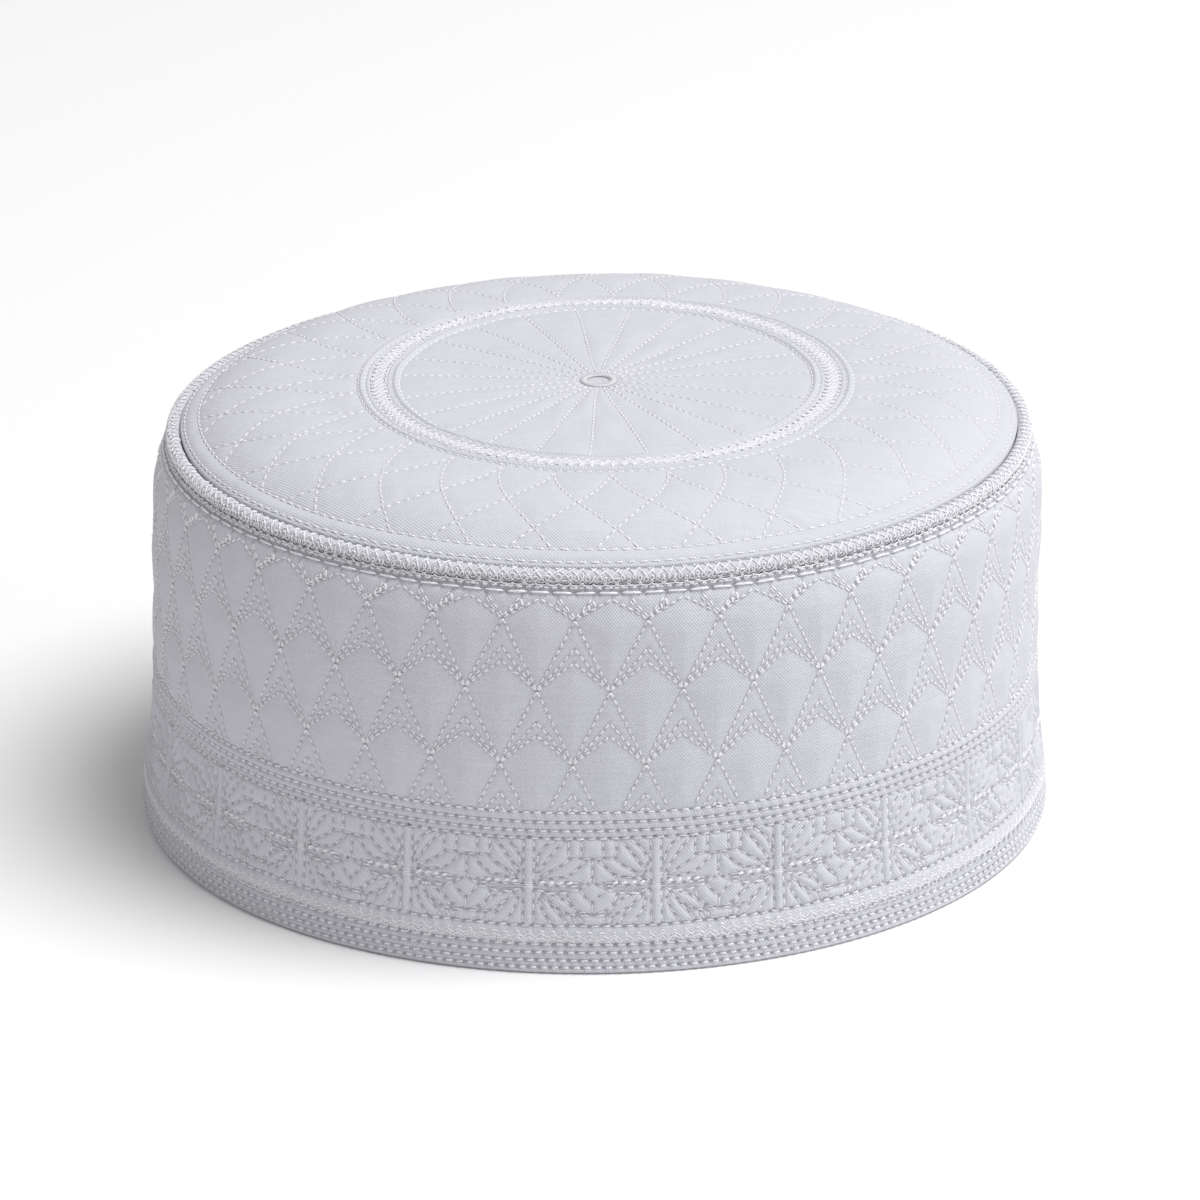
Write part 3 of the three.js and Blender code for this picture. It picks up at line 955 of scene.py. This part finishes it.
def thread_look(tree):
    """White cotton thread with a soft shine and a twist of two strands."""
    colour = bpy.context.scene.cap_looks.thread_colour
    uv = add_node(tree, "UVMap", "UV", uv_map="Cloth")
    twist = add_node(tree, "TexWave", "Fac", {"Vector": uv, "Scale": 1.3, "Distortion": 0.5},
                     bands_direction="DIAGONAL")
    strands = add_node(tree, "Bump", "Normal",
                       {"Height": twist, "Strength": 0.4, "Distance": 0.0001})
    tone = mixed(tree, twist, tinted(colour), tinted(colour, 0.93))
    # Painted shade: only the eyelet carries it, over its whole ring and more between its strands
    set_inputs(tree, tree.nodes["Principled BSDF"], {
        "Base Color": with_painted_shade(tree, tone, tinted(colour, 0.3)), "Normal": strands,
        "Roughness": 0.42, "Sheen Weight": 0.25, "Sheen Roughness": 0.35,
        "Specular IOR Level": 0.6})


def floor_look(tree):
    """Pale matt floor."""
    set_inputs(tree, tree.nodes["Principled BSDF"], {
        "Base Color": tinted((0.97, 0.97, 0.97)), "Roughness": 0.9, "Specular IOR Level": 0.05})


class CapSizes(bpy.types.PropertyGroup):
    """Sizes of the quilting and the stitches."""

    thread: bpy.props.FloatProperty(
        name="Thread", description="Half the thickness of a stitch, in millimetres",
        default=0.24, min=0.05, max=1.0)
    kite_puff: bpy.props.FloatProperty(
        name="Kite puff", description="How far a kite swells out, in millimetres",
        default=0.5, min=0.0, max=2.0)
    leaf_puff: bpy.props.FloatProperty(
        name="Leaf puff", description="How far a leaf swells out, in millimetres",
        default=0.65, min=0.0, max=2.0)
    seam_puff: bpy.props.FloatProperty(
        name="Seam puff", description="How far cloth swells between sewn rows, in millimetres",
        default=0.5, min=0.0, max=2.0)


class CapLooks(bpy.types.PropertyGroup):
    """Colours and weave of the cap."""

    cloth_colour: bpy.props.FloatVectorProperty(
        name="Cloth", description="Colour of the cotton twill", subtype="COLOR",
        default=(0.665, 0.665, 0.72), min=0.0, max=1.0)
    thread_colour: bpy.props.FloatVectorProperty(
        name="Thread", description="Colour of the stitches", subtype="COLOR",
        default=(0.93, 0.93, 0.97), min=0.0, max=1.0)
    twill_pitch: bpy.props.FloatProperty(
        name="Twill pitch", description="Distance between two ribs of the weave",
        default=0.00046, min=0.0001, max=0.01, precision=5, unit="LENGTH")
    twill_slant: bpy.props.FloatProperty(
        name="Twill slant", description="Turn of the weave's ribs from upright",
        default=math.radians(39.6), subtype="ANGLE")


class CAP_OT_kite_wall(bpy.types.Operator):
    """Quilted upper wall: three rows of kites and the tips of a fourth, turned in at the rim"""

    bl_idname = "cap.kite_wall"
    bl_label = "Kite wall"

    def execute(self, context):
        wall_band("kite_wall", KITE_FOOT, WALL_TOP, KITE_ROW_STEP, KITE_COLUMNS,
                  above=piping_groove([-58, -90, -120, -135]), nodes=["side_band"])
        return {"FINISHED"}


class CAP_OT_leaf_border(bpy.types.Operator):
    """Lower wall: puffed leaves between bars, under four sewn rows"""

    bl_idname = "cap.leaf_border"
    bl_label = "Leaf border"

    def execute(self, context):
        wall_band("leaf_border", HEM_TOP, KITE_FOOT, LEAF_ROW_STEP, LEAF_COLUMNS)
        return {"FINISHED"}


class CAP_OT_hem_band(bpy.types.Operator):
    """Hem: padded rows of stitching down to a rounded fold"""

    bl_idname = "cap.hem_band"
    bl_label = "Hem"

    def execute(self, context):
        fold = [(HALF_WIDTH - inset, height) for inset, height in HEM_FOLD]
        wall_band("hem_band", HEM_FOOT, HEM_TOP, HEM_ROW_STEP, HEM_COLUMNS, below=fold)
        return {"FINISHED"}


def net_share(half):
    """How far a line of the net has come from its own point to the next.

    It is a power of the way from the points to the second crossing, where it is one.
    """
    out = np.maximum(half - NET_POINT, 0)
    return (out / (NET_CROSSING - NET_POINT)) ** NET_BEND


def net_turns(half, way):
    """Oval turns of the net's lines at a half width, each on its way from a point to the next."""
    gaps = (np.roll(NET_TURNS, -way) - NET_TURNS + math.pi) % FULL_TURN - math.pi
    return NET_TURNS + net_share(half)[..., None] * gaps


def spoke_turns():
    """Turns of the spokes in the crown's pattern, from those of their ends on the oval."""
    return pattern_turn(np.full(len(SPOKE_TURNS), SPOKE_END), SPOKE_TURNS)


def off_nearest(turn, turns):
    """How far a turn is past the nearest of some given ones."""
    off = (turn[..., None] - turns + math.pi) % FULL_TURN - math.pi
    nearest = np.argmin(np.abs(off), axis=-1)
    return np.take_along_axis(off, nearest[..., None], -1)[..., 0]


def crown_lines(turn, half):
    """Distance to the nearest sewn line of the crown, and the turn that leads onto it."""
    off = off_nearest(turn, spoke_turns())
    near_spoke = half < SPOKE_END
    gap = np.where(near_spoke, np.abs(off) * half, 9.0)
    onto = np.where(near_spoke, -off, 0.0)
    oval_half, oval_turn = crown_spot(half, turn)
    steep = oval_half * slope_of(net_share, half) * FULL_TURN / len(NET_TURNS)
    netted = (half > NET_START) & (half < NET_END)
    for way in (1, -1):
        local = off_nearest(oval_turn, net_turns(half, way))
        net = np.abs(local) * oval_half / np.sqrt(1 + steep**2)
        closer = netted & (net < gap)
        gap = np.where(closer, net, gap)
        onto = np.where(closer, -local, onto)
    return gap, onto


def crown_relief(turn, half):
    """Lift and painted shade of the crown's cloth: spokes, ring, net and the two edge circles."""
    gap, _ = crown_lines(turn, half)
    circles = np.array(CROWN_SEAMS)[:, 0]
    gap = np.minimum(gap, np.min(np.abs(half[..., None] - circles), axis=-1))
    rise = np.where(half > NET_START, NET_RISE, RING_RISE)
    rise = np.where(half < SPOKE_END, SPOKE_RISE, rise)
    lift = puff(gap, 0, rise, **CROWN_QUILT)
    for middle, width, height in CROWN_RIBS:
        lift += height * np.sqrt(np.clip(1 - ((half - middle) / width) ** 2, 0, 1))
    seat = 1 - ease(half, EYELET_OUTER - SEAT_EDGE, EYELET_OUTER + SEAT_EDGE)
    edge = ease(half, *CROWN_FLAT)
    lift = (lift * (1 - edge)) * (1 - seat) - SEAT_DEPTH * seat
    return lift, painted_line_shade(gap, 0, **CROWN_SHADE)


class CAP_OT_crown_panel(bpy.types.Operator):
    """Crown: spokes, a ribbed ring and a net of curved diamonds on a flat top with a round edge"""

    bl_idname = "cap.crown_panel"
    bl_label = "Crown"

    def execute(self, context):
        turn = np.arange(CROWN_COLUMNS) * FULL_TURN / CROWN_COLUMNS
        half = np.concatenate([np.linspace(*zone, endpoint=False) for zone in CROWN_ZONES])
        half = np.append(half, CROWN_ZONES[-1][1])[:, None]
        grid_turn, grid_half = np.broadcast_arrays(turn[None, :], half)
        _, onto = crown_lines(grid_turn, grid_half)
        cell = CELL_SHARE * FULL_TURN / CROWN_COLUMNS
        close = np.abs(onto) < CROWN_CLOSE * cell
        grid_turn = grid_turn + np.where(close, np.clip(onto, -cell, cell), 0)
        lift, painted_shade = crown_relief(grid_turn, grid_half)
        outside, _ = crown_frame(grid_half, grid_turn, lift)
        lining = np.stack([CROWN_INSIDE["half"],
                           CAP_HEIGHT - np.array(CROWN_INSIDE["drop"])], -1)
        inside = ring_rows(np.concatenate([piping_groove([165, 190, 215]), lining]), turn)
        middle = np.zeros(1)
        top, _ = crown_frame(middle, middle, -SEAT_DEPTH)
        under = place(middle, middle, middle + CAP_HEIGHT - CLOTH)
        grid = np.concatenate([outside, inside])
        points = np.concatenate([grid.reshape(-1, 3), top, under])
        faces = ring_faces(len(grid), CROWN_COLUMNS, False)[:, ::-1]
        column = np.arange(CROWN_COLUMNS)
        beside = (column + 1) % CROWN_COLUMNS
        last = (len(grid) - 1) * CROWN_COLUMNS
        fans = np.concatenate([
            np.stack([np.full_like(column, len(points) - 2), column, beside], -1),
            np.stack([np.full_like(column, len(points) - 1), last + beside, last + column], -1),
        ])
        corners = np.concatenate([faces.ravel(), fans.ravel()])
        # Painted shade of the outside; the lining and the middle carry none
        shade = np.append(painted_shade, np.zeros(len(points) - painted_shade.size))
        finish_cloth(build_mesh("crown", points, points[corners][:, :2], faces, fans, shade),
                     ["crown_panel"])
        return {"FINISHED"}


class CAP_OT_rim_piping(bpy.types.Operator):
    """Padded cord on the rim with looped threads all round it"""

    bl_idname = "cap.rim_piping"
    bl_label = "Rim piping"

    def execute(self, context):
        core = PIPING_RADIUS - 0.12
        columns, sides = 720, 12
        turn = np.arange(columns) * FULL_TURN / columns
        angle = np.arange(sides)[:, None] * FULL_TURN / sides
        points = round_piping(turn[None, :], angle, core)
        uv = ring_uv(turn * PIPING_RING, angle * core, FULL_TURN * PIPING_RING)
        finish_cloth(build_mesh("rim_cord", points, uv, ring_faces(sides, columns),
                                painted_shade=np.zeros(points.shape[:2])), ["rim_piping"])
        looped_threads(PIPING_THREADS, piping_frame)
        return {"FINISHED"}


def piping_frame(turn, degrees):
    """Spot and outward direction on the piping, by the turn round the cap and round the cord."""
    angle = np.radians(degrees)
    return (round_piping(turn, angle, PIPING_RADIUS - PIPING_LOOP_SINK),
            oval_outward(turn, np.cos(angle), np.sin(angle)))


class CAP_OT_crown_eyelet(bpy.types.Operator):
    """Padded eyelet in satin stitch at the middle of the crown"""

    bl_idname = "cap.crown_eyelet"
    bl_label = "Crown eyelet"

    def execute(self, context):
        strands, steps, sides = 44, 6, 14
        over, under, ridge_rise = 0.36, 0.12, 0.16
        middle = (EYELET_OUTER + EYELET_INNER) / 2
        thick = (EYELET_OUTER - EYELET_INNER) / 2 - 0.04
        around = np.arange(strands * steps) / (strands * steps) * FULL_TURN
        section = (np.arange(sides) / sides * FULL_TURN)[:, None]
        strand = np.abs(np.sin(around * strands / 2))
        ridge = ridge_rise * strand[None, :]
        above = np.sin(section) > 0
        rise = (np.where(above, over, under) + ridge * above) * np.sin(section)
        radius = middle + thick * np.cos(section) - ridge * np.cos(section)
        x = LEAN_X + radius * np.sin(around)
        y = LEAN_Y - radius * np.cos(around)
        points = np.stack(np.broadcast_arrays(x, y, EYELET_SEAT + under + 0.01 + rise), -1)
        uv = ring_uv(around * middle, section * thick, FULL_TURN * middle)[..., ::-1]
        # Painted shade over the whole ring, and more in the grooves between its strands
        groove = 1 - strand + 0 * section
        finish_thread(build_mesh("eyelet_ring", points, uv, ring_faces(sides, len(around)),
                                 painted_shade=0.22 + 0.4 * groove), ["crown_eyelet"])
        return {"FINISHED"}


def kite_middles(shifted):
    """Turns of the kites' middle lines in a row, shifted by half a kite where asked."""
    return FIRST_CORNER + (np.arange(KITES_AROUND) + shifted / 2) * FULL_TURN / KITES_AROUND


class CAP_OT_kite_stitches(bpy.types.Operator):
    """Stitches along the kites, the lines sewn over their tops and the knots at their corners"""

    bl_idname = "cap.kite_stitches"
    bl_label = "Kite stitches"

    def execute(self, context):
        pairs = []
        for index, (shifted, edges) in enumerate(kite_lines()):
            if index == 0:
                over = edges.pop()
                slope = over[1] - over[0]
                aside = np.array([-slope[1], slope[0]]) / np.hypot(*slope) * ROW_ASIDE
                edges += [over + aside, over - aside]
            for line in edges:
                for side in (1, -1):
                    starts, ends = split_line(line * [side, 1], KITE_STEP, WALL_FILL)
                    low = np.minimum(starts[:, 1], ends[:, 1])
                    high = np.maximum(starts[:, 1], ends[:, 1])
                    inside = (low > KITE_FOOT) & (high < KITE_TOP)
                    pairs.append(repeat_round(starts[inside], ends[inside],
                                              kite_middles(shifted), KITE_ROUND))
        wall_stitches("kite_stitches", pairs, lift=0.0, thick=0.85, seed=21)
        knots = []
        for row in KITE_TABLE[:3]:
            tie = np.array([(-KNOT_HALF, row["side"] - KNOT_DROP)])
            knots.append(repeat_round(tie, tie * [-1, 1], kite_middles(1 - row["shifted"]),
                                      KITE_ROUND))
        row = KITE_TABLE[0]
        edge = KNOT_PLACES * [-KITE_HALF, row["side"] - row["top"]] + [0, row["top"] + 0.2]
        over = edge + (1 - KNOT_PLACES) * [-0.5, 2.0] + [-0.2, 0.3]
        knots.append(repeat_round(edge, over, kite_middles(1), KITE_ROUND))
        wall_stitches("knot_stitches", knots, lift=0.1, thick=1.25, seed=26)
        return {"FINISHED"}


class CAP_OT_leaf_stitches(bpy.types.Operator):
    """Small stitches round the leaves, three turns on each bar and beads beside it"""

    bl_idname = "cap.leaf_stitches"
    bl_label = "Leaf stitches"

    def execute(self, context):
        bars = FIRST_BAR + np.arange(MOTIFS_AROUND) * FULL_TURN / MOTIFS_AROUND
        pairs = []
        for line in leaf_curves(LEAF_LINES):
            between_motifs = line[:, 0].min() > MOTIF_HALF - JOIN
            for side in (1,) if between_motifs else (1, -1):
                starts, ends = split_line(line * [side, 1], LEAF_STEP, WALL_FILL)
                pairs.append(repeat_round(starts, ends, bars, LEAF_ROUND))
        wall_stitches("leaf_stitches", pairs, lift=-0.03, thick=0.8, seed=22)
        turns = np.stack([np.full(len(TIE_TURNS), -BAR_HALF), TIE_LEVEL + TIE_TURNS], -1)
        turns = repeat_round(turns, turns * [-1, 1], bars, LEAF_ROUND)
        wall_stitches("bar_stitches", [turns], lift=0.2, thick=0.8, seed=23)
        beads = np.arange(BEADS)[:, None] * BEAD_STEP + FIRST_BEAD
        beads = np.concatenate([beads, beads * [-1, 1]])
        beads = repeat_round(beads - BEAD_HALF, beads + BEAD_HALF, bars, LEAF_ROUND)
        wall_stitches("bead_stitches", [beads], lift=0.16, thick=1.5, seed=27)
        return {"FINISHED"}


class CAP_OT_seam_stitches(bpy.types.Operator):
    """Straight rows of stitches round the wall, looped threads on the hem and under the rim"""

    bl_idname = "cap.seam_stitches"
    bl_label = "Seam stitches"

    def execute(self, context):
        pairs = []
        for index, (seam, count) in enumerate(zip(WALL_SEAMS, SEAM_COUNTS)):
            level, _, fill, _, _ = seam
            step = FULL_TURN / count
            middle = (np.arange(count) + index * SEAM_PHASE / FULL_TURN) * step
            reach = step * fill / 2
            pairs.append([np.stack([middle + way * reach, np.full(count, level)], -1)
                          for way in (-1, 1)])
        lift, thick = (np.repeat(WALL_SEAMS[:, part], SEAM_COUNTS) for part in (3, 4))
        wall_stitches("seam_stitches", pairs, lift, thick, seed=24)
        looped_threads(WALL_THREADS,
                       lambda turn, height: wall_frame(turn, height, WALL_LOOP_LIFT))
        return {"FINISHED"}


class CAP_OT_crown_stitches(bpy.types.Operator):
    """Stitches of the crown: spokes, circles and the net, and looped threads on the ring"""

    bl_idname = "cap.crown_stitches"
    bl_label = "Crown stitches"

    def execute(self, context):
        lines = []
        for turn in spoke_turns():
            lines.append((np.array([[SPOKE_START, turn], [SPOKE_END, turn]]), SPOKE_STEP))
        half = np.linspace(NET_START, NET_END, NET_PIECES)
        for way in (1, -1):
            for turns in net_turns(half, way).T:
                lines.append((np.stack([half, pattern_turn(half, turns)], -1), NET_STEP))
        pairs = []
        for line, step in lines:
            flat = line[:, :1] * np.stack([np.sin(line[:, 1]), np.cos(line[:, 1])], -1)
            pairs.append([np.stack([np.hypot(*spots.T), np.arctan2(*spots.T)], -1)
                          for spots in split_line(flat, step, CROWN_FILL)])
        for index, (half, step) in enumerate(CROWN_SEAMS):
            count = round(FULL_TURN * half / step)
            pitch = FULL_TURN / count
            middle = (np.arange(count) + CIRCLE_PHASE * index) * pitch
            halves = np.full(count, half)
            pairs.append([np.stack([halves, middle + way * CIRCLE_REACH * pitch], -1)
                          for way in (-1, 1)])
        lay_stitches("crown_stitches", pairs, lambda half, turn: crown_frame(half, turn, -0.04),
                     thick=0.85, sink=0.25, seed=25)
        looped_threads(RING_THREADS,
                       lambda turn, half: crown_frame(half, turn, RING_LOOP_LIFT), RING_LOOPS)
        return {"FINISHED"}


# Lamps: direction as turn from the right of the view and height, distance, width and power
LAMPS = {
    "softbox": {"turn": -14.0, "height": 68.0, "distance": 2.4, "width": 1.5, "power": 48.0},
    "side panel": {"turn": -10.0, "height": 20.0, "distance": 2.0, "width": 1.4, "power": 5.6},
}
STUDIO_LEVEL = 0.34
FLOOR_HALF = 3.0


class CAP_OT_stage(bpy.types.Operator):
    """Pale floor, soft studio light and the camera at the photograph's angle"""

    bl_idname = "cap.stage"
    bl_label = "Stage"

    def execute(self, context):
        scene = context.scene
        turned = Matrix.Rotation(-CAMERA_TURN, 3, "Z")
        mesh = bpy.data.meshes.new("floor")
        corners = [(x * FLOOR_HALF, y * FLOOR_HALF, 0)
                   for x, y in ((-1, -1), (1, -1), (1, 1), (-1, 1))]
        mesh.from_pydata(corners, [], [(0, 1, 2, 3)])
        floor = bpy.data.objects.new("floor", mesh)
        scene.collection.objects.link(floor)
        mesh.materials.append(material_named("Pale floor", floor_look))

        for name, lamp in LAMPS.items():
            data = bpy.data.lights.new(name, "AREA")
            data.shape = "DISK"
            data.size = lamp["width"]
            data.energy = lamp["power"]
            turn, height = math.radians(lamp["turn"]), math.radians(lamp["height"])
            way = turned @ Vector((math.cos(turn) * math.cos(height),
                                   math.sin(turn) * math.cos(height), math.sin(height)))
            light = bpy.data.objects.new(name, data)
            light.location = way * lamp["distance"]
            light.rotation_euler = (-way).to_track_quat("-Z", "Y").to_euler()
            scene.collection.objects.link(light)

        world = bpy.data.worlds.new("studio")
        world.use_nodes = True
        background = world.node_tree.nodes["Background"]
        background.inputs["Color"].default_value = tinted((1, 1, 1))
        background.inputs["Strength"].default_value = STUDIO_LEVEL
        scene.world = world
        scene.view_settings.view_transform = "Standard"

        back = turned @ Vector((0, -math.cos(CAMERA_ELEVATION), math.sin(CAMERA_ELEVATION)))
        right = Vector((0, 0, 1)).cross(back).normalized()
        up = back.cross(right)
        across = right * math.cos(CAMERA_ROLL) + up * math.sin(CAMERA_ROLL)
        upright = up * math.cos(CAMERA_ROLL) - right * math.sin(CAMERA_ROLL)
        data = bpy.data.cameras.new("camera")
        data.sensor_width = CAMERA_SENSOR
        data.lens = CAMERA_LENS
        data.clip_start, data.clip_end = 0.05, 20
        camera = bpy.data.objects.new("camera", data)
        view = Matrix((across, upright, back)).transposed().to_4x4()
        view.translation = (turned @ Vector(CAMERA_TARGET) + back * CAMERA_DISTANCE) * MM
        camera.matrix_world = view
        scene.collection.objects.link(camera)
        scene.camera = camera
        return {"FINISHED"}


STEPS = (
    CAP_OT_stage,
    CAP_OT_kite_wall,
    CAP_OT_leaf_border,
    CAP_OT_hem_band,
    CAP_OT_crown_panel,
    CAP_OT_rim_piping,
    CAP_OT_crown_eyelet,
    CAP_OT_kite_stitches,
    CAP_OT_leaf_stitches,
    CAP_OT_seam_stitches,
    CAP_OT_crown_stitches,
)


class CAP_PT_panel(bpy.types.Panel):
    """Sizes, looks and the steps that build the cap"""

    bl_idname = "CAP_PT_panel"
    bl_label = "Prayer Cap"
    bl_space_type = "VIEW_3D"
    bl_region_type = "UI"
    bl_category = "Prayer Cap"

    def draw(self, context):
        column = self.layout.column(align=True)
        for group in (context.scene.cap_sizes, context.scene.cap_looks):
            for name in type(group).__annotations__:
                column.prop(group, name)
        for step in STEPS:
            column.operator(step.bl_idname)


CLASSES = (CapSizes, CapLooks, *STEPS, CAP_PT_panel)


def register():
    for part in CLASSES:
        bpy.utils.register_class(part)
    bpy.types.Scene.cap_sizes = bpy.props.PointerProperty(type=CapSizes)
    bpy.types.Scene.cap_looks = bpy.props.PointerProperty(type=CapLooks)


def unregister():
    del bpy.types.Scene.cap_looks
    del bpy.types.Scene.cap_sizes
    for part in reversed(CLASSES):
        bpy.utils.unregister_class(part)


def main():
    register()
    for step in STEPS:
        group, name = step.bl_idname.split(".")
        getattr(getattr(bpy.ops, group), name)()


if __name__ == "__main__":
    main()
